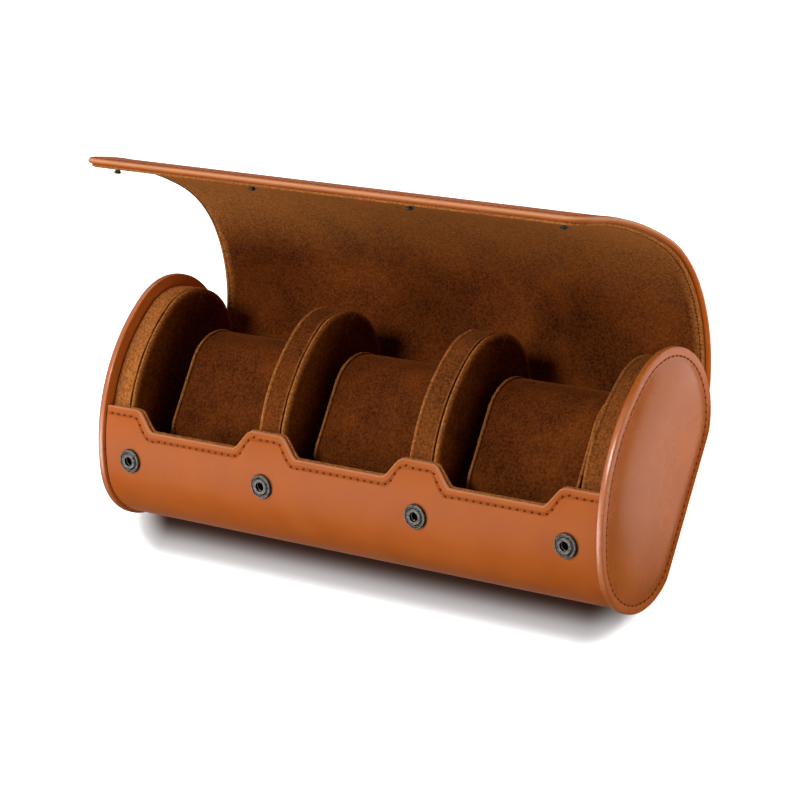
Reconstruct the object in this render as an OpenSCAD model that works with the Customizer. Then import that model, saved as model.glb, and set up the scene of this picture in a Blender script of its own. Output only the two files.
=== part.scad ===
// Travel case for three wristwatches: a leather drum of D-shaped section with two padded end caps,
// suede partitions, three lift-out cushions and a leather lid that closes over the front with snaps.
// X runs along the drum, Y towards the lid's hinge, Z up. The case stands on its flat base at Z = 0.
// The lid is drawn swung open; it closes about its hinge, its fold and its front bend.

/* [Body] */
// Length between the inner faces of the two end caps
body_len = 230; // [200:1:260]
// Depth from front to back
body_depth = 96; // [90:1:102]
// Radius of the lower front corner
front_r = 24.7; // [22:0.1:26]
// Radius of the lower rear corner
rear_r = 27.8; // [25:0.1:29]
// Radius of the crown
crown_r = 69.2; // [62:0.1:80]
// Thickness of the outer leather
leather_t = 1.4; // [1:0.1:1.8]
// Thickness of the stiffening board
board_t = 1.1; // [0.8:0.1:1.5]
// Thickness of the suede lining
lining_t = 0.9; // [0.6:0.1:1.2]

/* [Front panel] */
// Developed height of the front panel's tabs above the base
tab_reach = 88.4; // [84:0.2:92]
// Depth of the notch in front of each watch
notch_depth = 8; // [5:0.2:10]
// Width of a tab between two notches, at the level of their bottoms
tab_bottom_w = 29; // [26:0.5:33]
// Width of a tab along its top
tab_top_w = 16.6; // [15:0.2:20]
// Distance of the snaps below the top of the tabs
snap_drop = 20.7; // [17:0.1:23]
// Distance of the outer snaps from the end caps
snap_end_gap = 13.1; // [12:0.1:15]
// How far an inner snap sits outside the middle of its tab
snap_aside = 0.6; // [0:0.1:2]

/* [Partitions] */
// Distance from the middle of an outer bay to its end cap
end_room = 44; // [42.5:0.5:46]
// Thickness of a divider between two bays
divider_t = 12; // [9:0.5:14]
// Thickness of the padded block against each end cap
cheek_t = 10.5; // [8:0.5:12]
// How far the partitions stay inside the body's outline, where the lid closes over them
partition_inset = 3.2; // [3.1:0.1:4]
// Height of the seams that stand up along a partition's edges
ridge_h = 0.4; // [0.2:0.1:0.7]
// Width of those seams
ridge_w = 0.9; // [0.6:0.1:1.4]
// Height of the short seam that closes the back of each side panel
closing_z = 34; // [24:1:38]

/* [End caps] */
// How far an end cap stands proud of the body's outline
cap_proud = 1.2; // [0.8:0.1:1.6]
// Thickness of an end cap's leather
cap_leather_t = 1.0; // [0.8:0.1:1.4]
// Thickness of an end cap's board
cap_board_t = 1.1; // [0.8:0.1:2]
// Thickness of the leather facing on the inside of an end cap
facing_t = 0.6; // [0.4:0.1:0.8]
// Height of the padding at the middle of an end cap
crown_h = 4; // [2:0.2:6]
// Width of the flat border around the padding
border_w = 3.4; // [3:0.2:5]
// Distance of an end cap's row of stitches inside the body's outline
stitch_in = 2.1; // [1.6:0.1:2.4]

/* [Lid] */
// Distance of the lid's free edge past its studs
lid_past = 6.1; // [5.5:0.1:9]
// Play between the lid's sides and the end caps
lid_side_gap = 0.5; // [0.3:0.1:1]
// Radius of the lid's two front corners
lid_corner_r = 8; // [4:0.5:14]
// Distance of the hinge line from the end of the flat base
hinge_at = 8; // [7.5:0.1:8.5]
// Distance of the fold line, measured along the lid
fold_at = 45; // [44.5:0.1:45.5]
// Distance of the front bend line, measured along the lid
bend_at = 112; // [111:0.5:113]
// Length of the open lid that lies flat behind the base
lid_flat = 13.1; // [12.9:0.1:13.3]
// Radius of the open lid where it curls up off the table
curl_r1 = 30; // [29:0.5:31]
// Radius of the open lid's lower back
curl_r2 = 64; // [63:0.5:65]
// Radius of the open lid's upper back
curl_r3 = 52; // [51:0.5:53]
// Radius of the open lid's front
curl_r4 = 150; // [145:1:155]

/* [Snaps] */
// Diameter of a snap socket's flange
socket_d = 9.6; // [8:0.1:10.4]
// How far a socket stands proud of the leather
socket_h = 1.4; // [1:0.1:1.5]
// Diameter of the hole in a socket
socket_bore_d = 3.8; // [3.4:0.1:4.2]
// Diameter of a stud's head
stud_head_d = 2.8; // [2.4:0.1:2.9]
// Diameter of a stud's flange
stud_flange_d = 6.4; // [5.4:0.1:6.6]

/* [Cushions] */
// Distance from a cushion's end to the middle of the divider beside it
cushion_gap = 11.5; // [9.5:0.5:14]
// Depth of a cushion, front to back
cushion_depth = 60; // [52:1:64]
// Height of a cushion
cushion_h = 36; // [30:1:38]
// Thickness of a cushion's suede
sleeve_t = 0.9; // [0.6:0.1:1.2]
// How far the rims of a cushion's end discs stand out round its sleeve
rim_h = 0.7; // [0.4:0.1:1]

/* [Hidden] */
$fn = 48;

TAN = "#b9622f";       // smooth leather
SUEDE = "#6b4526";     // lining
CARD = "#9a8f7e";      // stiffening board
FOAM = "#d8cfae";
GUNMETAL = "#4a4a4c";

fit = 0.05;            // between layers of one body that only touch
play = 0.3;            // between pieces that move against each other
wall_t = leather_t + board_t + lining_t;
floor_z = wall_t;
arc_step = 5;          // degrees between the points of an arc
bay_pitch = body_len / 2 - end_room;

// ---- the body's outline: two corner arcs and a crown arc, tangent to each other ----
front_c = [front_r - body_depth / 2, front_r];
rear_c = [body_depth / 2 - rear_r, rear_r];
between = rear_c - front_c;
span_l = norm(between);
to_front = crown_r - front_r;
to_rear = crown_r - rear_r;
foot = (to_front * to_front - to_rear * to_rear + span_l * span_l) / (2 * span_l);
drop = sqrt(to_front * to_front - foot * foot);
along = between / span_l;
crown_c = front_c + foot * along + drop * [along.y, -along.x];
front_meet = atan2(front_c.y - crown_c.y, front_c.x - crown_c.x);   // where the arcs meet,
rear_meet = atan2(rear_c.y - crown_c.y, rear_c.x - crown_c.x);      // as normal angles
front_arc = front_r * (270 - front_meet) * PI / 180;
crown_arc = crown_r * (front_meet - rear_meet) * PI / 180;
rear_arc = rear_r * (rear_meet + 90) * PI / 180;
girth = front_arc + crown_arc + rear_arc;

// A place on the outline, measured from the front edge of the flat base up over the crown.
// Each place is [centre of its arc, radius, angle of the outward normal].
function place(s) =
  s < front_arc ? [front_c, front_r, 270 - s / front_r * 180 / PI] :
  s < front_arc + crown_arc ? [crown_c, crown_r, front_meet - (s - front_arc) / crown_r * 180 / PI] :
  [rear_c, rear_r, rear_meet - (s - front_arc - crown_arc) / rear_r * 180 / PI];
function normal_at(s) = place(s)[2];
function on_outline(s, d = 0) = let (p = place(s)) p[0] + (p[1] + d) * [cos(p[2]), sin(p[2])];

// The stations between two places: the ends, the joins of the arcs and steps of equal turn.
function steps(a, b, r) = let (n = max(1, ceil((b - a) / r * 180 / PI / arc_step)))
  [for (i = [0:n - 1]) a + (b - a) * i / n];
function stations(s0, s1) =
  let (a = min(max(s0, 0), front_arc), b = min(s1, front_arc), c = max(s0, front_arc),
       e = min(s1, front_arc + crown_arc), f = max(s0, front_arc + crown_arc))
  concat(b > a ? steps(a, b, front_r) : [], e > c ? steps(c, e, crown_r) : [],
         s1 > f ? steps(f, s1, rear_r) : [], [s1]);

// The whole outline, d outside the body's skin and never below the base.
function ring(d) = [for (s = stations(0, girth)) let (p = on_outline(s, d)) [p.x, max(p.y, max(0, -d))]];

// The body's wall: a sheet of the front, the base and the rear up to the hinge line.
hinge_y = rear_c.x + hinge_at;
function sheet(s1, d_out, d_in) = let (st = stations(0, s1), n = len(st)) concat(
  [[hinge_y - play / 2, -d_in], [hinge_y - play / 2, -d_out]],
  [for (s = st) on_outline(s, d_out)],
  [for (i = [n - 1:-1:0]) on_outline(st[i], d_in)]);

// ---- helpers ----
module along_x(x0, x1) translate([x0, 0, 0]) rotate([90, 0, 90]) linear_extrude(x1 - x0) children();
// Children are drawn with +Z along the outline's normal.
module at_outline(x, s, d = 0) let (p = on_outline(s, d))
  translate([x, p.x, p.y]) rotate([normal_at(s) - 90, 0, 0]) children();

// ---- shell ----
notch_s = tab_reach - notch_depth;
snap_s = tab_reach - snap_drop;
snap_outer_x = body_len / 2 - snap_end_gap;
snap_inner_x = bay_pitch / 2 + snap_aside;
snap_x = [-snap_outer_x, -snap_inner_x, snap_inner_x, snap_outer_x];
notch_bottom_w = bay_pitch - tab_bottom_w;
notch_top_w = bay_pitch - tab_top_w;
notch_over = 12;        // how far a notch cutter reaches past the edge and the wall

module notch_cutter() at_outline(0, (notch_s + tab_reach) / 2)
  let (b = notch_bottom_w / 2, t = notch_top_w / 2, lean = (t - b) / notch_depth, lo = -notch_depth / 2)
  translate([0, 0, -notch_over]) linear_extrude(2 * notch_over)
    polygon([[-b, lo], [b, lo], [t + lean * notch_over, -lo + notch_over],
             [-t - lean * notch_over, -lo + notch_over]]);

module shell_layer(d_out, d_in, hole_d) difference() {
  along_x(-body_len / 2, body_len / 2) polygon(sheet(tab_reach, d_out, d_in));
  for (i = [-1:1]) translate([i * bay_pitch, 0, 0]) notch_cutter();
  if (hole_d > 0) for (x = snap_x) at_outline(x, snap_s) cylinder(d = hole_d, h = 4 * wall_t, center = true);
}
module shell_leather() color(TAN) shell_layer(0, -leather_t, barrel_d + 2 * fit);
module shell_board() color(CARD) shell_layer(-leather_t, -leather_t - board_t, back_d + 2 * fit);
module shell_lining() color(SUEDE) shell_layer(-leather_t - board_t, -wall_t, 0);

// ---- end caps, drawn for the right side and mirrored for the left ----
module side(s) if (s > 0) children(); else mirror([1, 0, 0]) children();
cap_x = body_len / 2;
face_x = cap_x + facing_t + cap_board_t;
pad_rise = [[0, 0], [0.18, 0.45], [0.42, 0.74], [0.7, 0.92], [1, 1]];   // share of width, share of height
pad_rim_r = 3;           // radius left at the tightest corner of the crown's top
pad_reach = front_r - border_w - pad_rim_r;
board_proud = cap_proud - 1;
cap_edge_r = 0.5;
stitch_w = 0.8;          // the thread pulls the leather into a groove this wide
stitch_dip = 0.3;        // and this deep

// A solid skinned over closed rings of points, one after the other, with its two ends closed.
module ringed(rings) {
  n = len(rings[0]);
  m = len(rings);
  polyhedron([for (r = rings) each r], concat(
    [[for (i = [0:n - 1]) i]],
    [for (k = [0:m - 2]) for (i = [0:n - 1])
      let (a = k * n, j = (i + 1) % n) [a + i, a + n + i, a + n + j, a + j]],
    [[for (i = [n - 1:-1:0]) (m - 1) * n + i]]), convexity = 4);
}
function ring_at(x, d) = [for (p = ring(d)) [x, p.x, p.y]];
// The rings of a pad that crowns over the whole outline: each lies further in and higher up.
function pad_rings(d, t) = [for (k = pad_rise) ring_at(face_x + t + k[1] * crown_h, -d - k[0] * pad_reach)];
function backward(v) = [for (i = [len(v) - 1:-1:0]) v[i]];
module end_facing(s) color(TAN) side(s) along_x(cap_x, cap_x + facing_t) polygon(ring(cap_proud));
module end_board(s) color(CARD) side(s) along_x(cap_x + facing_t, face_x) polygon(ring(board_proud));
module end_binding(s) color(TAN) side(s) along_x(cap_x + facing_t, face_x) difference() {
  polygon(ring(cap_proud));
  polygon(ring(board_proud));
}
module end_foam(s) color(FOAM) side(s) ringed(pad_rings(border_w, 0));
module end_leather(s) color(TAN) side(s) let (x = face_x + cap_leather_t, r = cap_edge_r) ringed(concat(
  backward(pad_rings(border_w, 0)),
  [ring_at(face_x, cap_proud), ring_at(x - r, cap_proud), ring_at(x - 0.3 * r, cap_proud - 0.3 * r),
   ring_at(x, cap_proud - r), ring_at(x, -stitch_in + stitch_w / 2), ring_at(x - stitch_dip, -stitch_in),
   ring_at(x, -stitch_in - stitch_w / 2)],
  pad_rings(border_w - cap_leather_t / 2, cap_leather_t)));

// ---- partitions ----
// A partition's outline: inside the front panel's lining, then just under the closed lid.
ramp_len = 8;            // the outline changes from the one to the other over this length
function partition_d(s) = let (t = min(1, max(0, (s - tab_reach) / ramp_len)))
  -(wall_t + fit) * (1 - t) - partition_inset * t;
seat_z = floor_z + fit;
function partition_outline(inset) = [for (s = stations(0, girth))
  let (p = on_outline(s, partition_d(s) - inset)) [p.x, max(p.y, seat_z)]];
core_inset = ridge_h + lining_t;
module core(x0, x1) color(FOAM) along_x(x0, x1) polygon(partition_outline(core_inset));
// Each side panel of suede is closed by a short seam at its back, which draws it into a groove.
closing_len = 17;
closing_w = 1;
closing_dip = 0.5;
module closing_groove(x) along_x(x - closing_dip, x + closing_dip)
  translate([body_depth / 2 - closing_len, closing_z]) square([closing_len, closing_w]);
// The suede wraps the foam: x0 to x1 is its outside, fx0 to fx1 the foam. Its edge seams stand up.
module hood(x0, x1, fx0, fx1, seams, panels) color(SUEDE) difference() {
  union() {
    along_x(x0, x1) polygon(partition_outline(ridge_h));
    for (x = seams) along_x(x, x + ridge_w) polygon(partition_outline(0));
  }
  along_x(fx0, fx1) polygon(partition_outline(core_inset));
  for (x = panels) closing_groove(x);
}
cheek_x = [cap_x - cheek_t, cap_x - fit];
module cheek_core(s) color(FOAM) side(s) core(cheek_x[0] + lining_t, cheek_x[1]);
module cheek_suede(s) side(s)
  hood(cheek_x[0], cheek_x[1], cheek_x[0] + lining_t, cheek_x[1] + 1, [cheek_x[0]], [cheek_x[0]]);
function divider_x(s) = [(s * bay_pitch - divider_t) / 2, (s * bay_pitch + divider_t) / 2];
module divider_core(s) core(divider_x(s)[0] + lining_t, divider_x(s)[1] - lining_t);
module divider_suede(s) let (x = divider_x(s))
  hood(x[0], x[1], x[0] + lining_t, x[1] - lining_t, [x[0], x[1] - ridge_w], x);

// ---- snaps ----
metal_t = 0.35;          // sheet that a socket is drawn from
spring_wire_d = 0.4;
spring_turn = 310;       // a spring ring is open, in degrees
barrel_d = socket_bore_d + 4 * metal_t;
back_d = 8.4;
back_t = 0.5;
// How far the rim of a flat disc dips below a surface that curves up round it
function sag(r, d) = r - sqrt(r * r - d * d / 4);
back_z = -leather_t - sag(place(snap_s)[1] - leather_t, back_d) - fit;
// The flange is pressed into a ring round the bore, a trough and a rolled rim.
ring_w = 1.05;
trough_h = socket_h * 0.55;
rim_w = 0.9;
module socket() rotate_extrude() polygon([
  [socket_bore_d / 2, socket_h], [socket_bore_d / 2 + ring_w, socket_h], [barrel_d / 2 + ring_w, trough_h],
  [socket_d / 2 - rim_w, trough_h], [socket_d / 2 - 0.7 * rim_w, 0.8 * socket_h],
  [socket_d / 2 - 0.3 * rim_w, 0.8 * socket_h], [socket_d / 2, trough_h], [socket_d / 2, 0],
  [barrel_d / 2, 0], [barrel_d / 2, back_z - back_t], [barrel_d / 2 - metal_t, back_z - back_t],
  [barrel_d / 2 - metal_t, socket_h - 2.5 * metal_t], [socket_bore_d / 2, socket_h - 1.7 * metal_t]]);
module snap_sockets() color(GUNMETAL) for (x = snap_x) at_outline(x, snap_s) socket();
module snap_springs() color("#b0b0b0") for (x = snap_x) at_outline(x, snap_s)
  rotate_extrude(angle = spring_turn) translate([(barrel_d - spring_wire_d) / 2 - metal_t - fit, 0])
  circle(d = spring_wire_d, $fn = 16);
module snap_backs() color(GUNMETAL) for (x = snap_x) at_outline(x, snap_s, back_z - back_t)
  difference() {
    cylinder(d = back_d, h = back_t - fit);
    translate([0, 0, -1]) cylinder(d = barrel_d + 2 * fit, h = back_t + 2);
  }

// ---- lid: one curved sheet, drawn open, cut at its hinge, fold and bend lines ----
lid_z = 0.2;             // the lid's flat start lies this far above the base plane
lid_step = 6;            // between two points along it
curl_r = [curl_r1, curl_r2, curl_r3, curl_r4];   // it lies flat behind the base, then curls up in arcs
curl_to = [25, 60, 92, 180];                     // that end in these directions, in degrees
function lid_walk(d, k = -1, p = [rear_c.x, lid_z], a = 0) =
  k < 0 ? (d <= lid_flat ? [p + [d, 0], 0] : lid_walk(d - lid_flat, 0, p + [lid_flat, 0], 0)) :
  let (r = curl_r[k], turn = curl_to[k] - a, t = min(turn, d / r * 180 / PI), b = a + t,
       q = p + r * [sin(b) - sin(a), cos(a) - cos(b)])
  t < turn || k == len(curl_r) - 1 ? [q, b] : lid_walk(d - r * turn * PI / 180, k + 1, q, b);
// A point of the lid, d along its outer leather and e into its thickness.
function on_lid(d, e = 0) = let (w = lid_walk(d)) w[0] + e * [-sin(w[1]), cos(w[1])];
function lid_steps(d0, d1) = let (n = ceil((d1 - d0) / lid_step)) [for (i = [0:n]) d0 + (d1 - d0) * i / n];
function lid_strip(d0, d1, e0, e1) =
  concat([for (d = lid_steps(d0, d1)) on_lid(d, e0)], [for (d = lid_steps(-d1, -d0)) on_lid(-d, e1)]);

// The axes that it turns about, on its lining, and the angles from open to closed.
hinge_axis = on_lid(hinge_at, wall_t);
fold_axis = on_lid(fold_at, wall_t);
bend_axis = on_lid(bend_at, wall_t);
hinge_turn = 27.5;
fold_turn = 47;
bend_turn = 17.5;
function turned(p, c, a) = let (v = p - c) c + [cos(a) * v.x - sin(a) * v.y, sin(a) * v.x + cos(a) * v.y];
function shut(p) =
  turned(turned(turned(p, bend_axis, bend_turn), fold_axis, fold_turn), hinge_axis, hinge_turn);
// How far along the lid the studs sit, so that they meet the sockets when the lid is shut.
function meets(d, tries) = let (v = shut(on_lid(d, wall_t)) - on_outline(snap_s), n = normal_at(snap_s))
  tries == 0 ? d : meets(d - (v.x * -sin(n) + v.y * cos(n)), tries - 1);
stud_at = meets(girth - snap_s, 6);
lid_len = stud_at + lid_past;
lid_half = body_len / 2 - lid_side_gap;

layer_e = [[0, leather_t], [leather_t, leather_t + board_t], [leather_t + board_t, wall_t]];
module lid_part(d0, d1, layer) along_x(-lid_half, lid_half)
  polygon(lid_strip(d0 + play / 2, d1 - play / 2, layer_e[layer][0], layer_e[layer][1]));
// Children are drawn with +Y along the lid and +Z into the case, on the lining.
module at_lid(x, d) let (w = lid_walk(d), p = on_lid(d, wall_t))
  translate([x, p.x, p.y]) rotate([w[1], 0, 0]) children();
module corner_cutter() at_lid(lid_half - lid_corner_r, lid_len) translate([0, -lid_corner_r, -2 * wall_t])
  difference() {
    cube([2 * lid_corner_r, 2 * lid_corner_r, 4 * wall_t]);
    translate([0, 0, -1]) cylinder(r = lid_corner_r, h = 4 * wall_t + 2);
  }
module flap_part(layer, hole_d) difference() {
  lid_part(bend_at, lid_len + play / 2, layer);
  for (s = [-1, 1]) side(s) corner_cutter();
  if (hole_d > 0) for (x = snap_x) at_lid(x, stud_at) cylinder(d = hole_d, h = 4 * wall_t, center = true);
}
module lid_back_leather() color(TAN) lid_part(hinge_at, fold_at, 0);
module lid_back_interlining() color(CARD) lid_part(hinge_at, fold_at, 1);
module lid_back_lining() color(SUEDE) lid_part(hinge_at, fold_at, 2);
module lid_leather() color(TAN) lid_part(fold_at, bend_at, 0);
module lid_board() color(CARD) lid_part(fold_at, bend_at, 1);
module lid_lining() color(SUEDE) lid_part(fold_at, bend_at, 2);
module flap_leather() color(TAN) flap_part(0, 0);
module flap_board() color(CARD) flap_part(1, stud_back_d + 2 * fit);
module flap_lining() color(SUEDE) flap_part(2, stud_post_d + 2 * fit);

stud_post_d = 2.4;
stud_neck_d = 2;
stud_back_d = 5;
stud_flange_t = 0.4;
stud_h = 2.2;            // from the lining to the tip of the head
head_t = 1;
head_edge = 0.4;
stud_z = sag(curl_r4 - wall_t, stud_flange_d) + fit;     // the flange's rim rests on the curved lining
flange_z = stud_z + stud_flange_t;
module stud() rotate_extrude() polygon([
  [0, -lining_t - back_t], [stud_post_d / 2, -lining_t - back_t], [stud_post_d / 2, stud_z],
  [stud_flange_d / 2, stud_z], [stud_flange_d / 2, stud_z + stud_flange_t / 2],
  [stud_flange_d / 2 - stud_flange_t, flange_z], [stud_neck_d / 2, flange_z],
  [stud_neck_d / 2, stud_h - head_t], [stud_head_d / 2, stud_h - head_t + head_edge / 2],
  [stud_head_d / 2, stud_h - head_edge], [stud_head_d / 2 - head_edge, stud_h], [0, stud_h]]);
module snap_studs() color(GUNMETAL) for (x = snap_x) at_lid(x, stud_at) stud();
module stud_backs() color(GUNMETAL) for (x = snap_x) at_lid(x, stud_at) translate([0, 0, -lining_t - back_t])
  difference() {
    cylinder(d = stud_back_d, h = back_t - fit);
    translate([0, 0, -1]) cylinder(d = stud_post_d + 2 * fit, h = back_t + 2);
  }

// ---- cushions ----
cushion_len = bay_pitch - 2 * cushion_gap;
cushion_x = [-bay_pitch, 0, bay_pitch];
cushion_z = floor_z + play;
cushion_y = 1;           // behind the middle of the body
module cushion_outline(inset) let (r = cushion_h / 2 - inset, flat = cushion_depth / 2 - cushion_h / 2)
  translate([cushion_y, cushion_z + cushion_h / 2]) union() {
    for (s = [-1, 1]) translate([s * flat, 0]) circle(r = r);
    square([2 * flat, 2 * r], center = true);
  }
module cushion_foam(x) color(FOAM) along_x(x - cushion_len / 2 + sleeve_t, x + cushion_len / 2 - sleeve_t)
  cushion_outline(rim_h + sleeve_t);
module cushion_sleeve(x) color(SUEDE) along_x(x - cushion_len / 2 + sleeve_t, x + cushion_len / 2 - sleeve_t)
  difference() {
    cushion_outline(rim_h);
    cushion_outline(rim_h + sleeve_t);
  }
module cushion_ends(x) color(SUEDE) for (s = [-1, 1]) translate([s * (cushion_len - sleeve_t) / 2, 0, 0])
  along_x(x - sleeve_t / 2, x + sleeve_t / 2) cushion_outline(0);

shell_leather();
shell_board();
shell_lining();
end_facing(-1);  // left_end_facing
end_board(-1);  // left_end_board
end_binding(-1);  // left_end_binding
end_foam(-1);  // left_end_foam
end_leather(-1);  // left_end_leather
end_facing(1);  // right_end_facing
end_board(1);  // right_end_board
end_binding(1);  // right_end_binding
end_foam(1);  // right_end_foam
end_leather(1);  // right_end_leather
cheek_core(-1);  // left_cheek_core
cheek_suede(-1);  // left_cheek_suede
cheek_core(1);  // right_cheek_core
cheek_suede(1);  // right_cheek_suede
divider_core(-1);  // left_divider_core
divider_suede(-1);  // left_divider_suede
divider_core(1);  // right_divider_core
divider_suede(1);  // right_divider_suede
snap_sockets();
snap_springs();
snap_backs();
lid_back_leather();
lid_back_interlining();
lid_back_lining();
lid_leather();
lid_board();
lid_lining();
flap_leather();
flap_board();
flap_lining();
snap_studs();
stud_backs();
cushion_foam(cushion_x[0]);  // left_cushion_foam
cushion_sleeve(cushion_x[0]);  // left_cushion_sleeve
cushion_ends(cushion_x[0]);  // left_cushion_ends
cushion_foam(cushion_x[1]);  // middle_cushion_foam
cushion_sleeve(cushion_x[1]);  // middle_cushion_sleeve
cushion_ends(cushion_x[1]);  // middle_cushion_ends
cushion_foam(cushion_x[2]);  // right_cushion_foam
cushion_sleeve(cushion_x[2]);  // right_cushion_sleeve
cushion_ends(cushion_x[2]);  // right_cushion_ends
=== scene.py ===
# %% [markdown]
# # A leather travel case for three wristwatches
#
# The case is one long strip of leather, board and suede, wrapped round two padded end caps. Its front end
# is notched and carries four snap sockets; its other end is the lid. Three suede cushions lie between
# padded partitions. This file dresses the solids of the frame: the wrap and its lining, the crowned caps,
# the suede partitions and cushions, the stitches and every finish.

# %% Load the frame
import math
from functools import partial

import bmesh
import bpy
import numpy as np
from mathutils import Matrix, Vector
from mathutils.kdtree import KDTree


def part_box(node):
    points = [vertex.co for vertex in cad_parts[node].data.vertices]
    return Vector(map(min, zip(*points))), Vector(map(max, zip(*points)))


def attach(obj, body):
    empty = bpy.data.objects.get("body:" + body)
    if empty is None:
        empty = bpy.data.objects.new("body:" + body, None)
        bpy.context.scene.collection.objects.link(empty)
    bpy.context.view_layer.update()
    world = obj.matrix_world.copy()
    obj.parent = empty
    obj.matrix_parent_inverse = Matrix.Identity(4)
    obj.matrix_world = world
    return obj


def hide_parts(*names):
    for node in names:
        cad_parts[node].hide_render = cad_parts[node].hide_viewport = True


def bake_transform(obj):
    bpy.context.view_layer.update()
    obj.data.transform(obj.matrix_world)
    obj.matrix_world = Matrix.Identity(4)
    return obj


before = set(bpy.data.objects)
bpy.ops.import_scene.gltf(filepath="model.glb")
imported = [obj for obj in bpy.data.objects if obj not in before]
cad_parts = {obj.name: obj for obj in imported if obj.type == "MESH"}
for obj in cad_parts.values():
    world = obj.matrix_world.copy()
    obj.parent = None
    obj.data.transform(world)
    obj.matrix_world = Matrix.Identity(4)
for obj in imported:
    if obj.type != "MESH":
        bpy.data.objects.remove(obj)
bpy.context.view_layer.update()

MM = 0.001

# %% [markdown]
# ## The sizes that everything follows
#
# The body's section is three arcs, tangent to each other, on a flat base. The lid goes on from the base,
# flat at first and then in arcs that curl up behind the case. Both are written once here, and every piece
# takes its place from them. All lengths are in millimetres until a mesh is made.

# %% The section and the lid's curve
BODY_LEN = (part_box("shell_leather")[1].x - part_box("shell_leather")[0].x) / MM
DEPTH = 96.0
FRONT_R, REAR_R, CROWN_R = 24.7, 27.8, 69.2
TAB_REACH = 88.4           # developed height of the front panel's tabs
NOTCH_DEPTH = 8.0
NOTCH_BOTTOM, NOTCH_TOP = 42.0, 54.4
BAY_PITCH = 71.0
WALL = 3.4                 # leather, board and suede together
LID_LEN = 154.03
ROLLED = 2.0               # the leather rolled over the board's free edge reaches this far past it
LID_CORNER = 8.0
LID_PLAY = 0.5             # between the lid's sides and the caps
HINGE_AT, FOLD_AT, BEND_AT = 8.0, 45.0, 112.0
LID_LIFT = 0.2             # the lid's flat start lies this far above the floor
LID_FLAT = 13.1
LID_ARCS = ((30, 25), (64, 60), (52, 92), (150, 180))   # radius, direction at the arc's end in degrees

FRONT_C = np.array([FRONT_R - DEPTH / 2, FRONT_R])
REAR_C = np.array([DEPTH / 2 - REAR_R, REAR_R])
_span = REAR_C - FRONT_C
_length = float(np.hypot(*_span))
_foot = ((CROWN_R - FRONT_R) ** 2 - (CROWN_R - REAR_R) ** 2 + _length ** 2) / (2 * _length)
_drop = math.sqrt((CROWN_R - FRONT_R) ** 2 - _foot ** 2)
_along = _span / _length
CROWN_C = FRONT_C + _foot * _along + _drop * np.array([_along[1], -_along[0]])
FRONT_MEET = math.atan2(*(FRONT_C - CROWN_C)[::-1])
REAR_MEET = math.atan2(*(REAR_C - CROWN_C)[::-1])
FRONT_ARC = FRONT_R * (1.5 * math.pi - FRONT_MEET)
CROWN_ARC = CROWN_R * (FRONT_MEET - REAR_MEET)
REAR_ARC = REAR_R * (REAR_MEET + math.pi / 2)
GIRTH = FRONT_ARC + CROWN_ARC + REAR_ARC
BASE_LEN = REAR_C[0] - FRONT_C[0]


def section(s):
    """A place on the section, s millimetres up from the front of the base: its arc's centre and radius, and
    its normal's angle."""
    if s < FRONT_ARC:
        return FRONT_C, FRONT_R, 1.5 * math.pi - s / FRONT_R
    if s < FRONT_ARC + CROWN_ARC:
        return CROWN_C, CROWN_R, FRONT_MEET - (s - FRONT_ARC) / CROWN_R
    return REAR_C, REAR_R, REAR_MEET - (s - FRONT_ARC - CROWN_ARC) / REAR_R


def on_section(s, out=0.0):
    """(y, z) of a point that lies `out` outside the section."""
    centre, radius, angle = section(s)
    return centre + (radius + out) * np.array([math.cos(angle), math.sin(angle)])


def lid_walk(d):
    """(point, direction) on the open lid's outer face, d along it from the end of the flat base."""
    point, direction = np.array([REAR_C[0], LID_LIFT]), 0.0
    if d <= LID_FLAT:
        return point + np.array([d, 0.0]), direction
    point, d = point + np.array([LID_FLAT, 0.0]), d - LID_FLAT
    for radius, end in LID_ARCS:
        turn = min(math.radians(end) - direction, d / radius)
        after = direction + turn
        point = point + radius * np.array([math.sin(after) - math.sin(direction),
                                           math.cos(direction) - math.cos(after)])
        direction, d = after, d - radius * turn
        if d <= 1e-9:
            break
    return point, direction


def on_wrap(q, e):
    """(y, z) of the wrap: q along its outer face, 0 at the end of the flat base and rising along the lid,
    e into its thickness. Below zero it runs under the base and up the front panel."""
    if q >= 0:
        point, angle = lid_walk(q)
        sunk = LID_LIFT * (1 - min(1, q / HINGE_AT))
        point = point - np.array([0, sunk])
    elif q > -BASE_LEN:
        point, angle = np.array([REAR_C[0] + q, 0.0]), 0.0
    else:
        s = -q - BASE_LEN
        point, angle = on_section(s), section(s)[2] + math.pi / 2
    return point + e * np.array([-math.sin(angle), math.cos(angle)])


Q_FRONT = -BASE_LEN - TAB_REACH      # the front panel's edge
SIDES = (("left", -1), ("right", 1))
print("section: %.1f mm round, height %.1f mm" % (GIRTH + BASE_LEN, CROWN_C[1] + CROWN_R))

# %% [markdown]
# ## Small tools for meshes and materials
#
# A mesh is built from points in millimetres and scaled once. A colour is written as the hex value that a
# painter would read off a swatch, and turned to linear light in one place. One function adds a node, and
# another gives a piece its finish and ties it to its body.

# %% Meshes
def smooth(mesh):
    """Shades a mesh smooth, but for its sharp corners."""
    mesh.polygons.foreach_set("use_smooth", [True] * len(mesh.polygons))
    mesh.set_sharp_from_angle(angle=math.radians(50))


def put(name, data):
    """A new object at the origin."""
    made = bpy.data.objects.new(name, data)
    bpy.context.scene.collection.objects.link(made)
    return made


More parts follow.
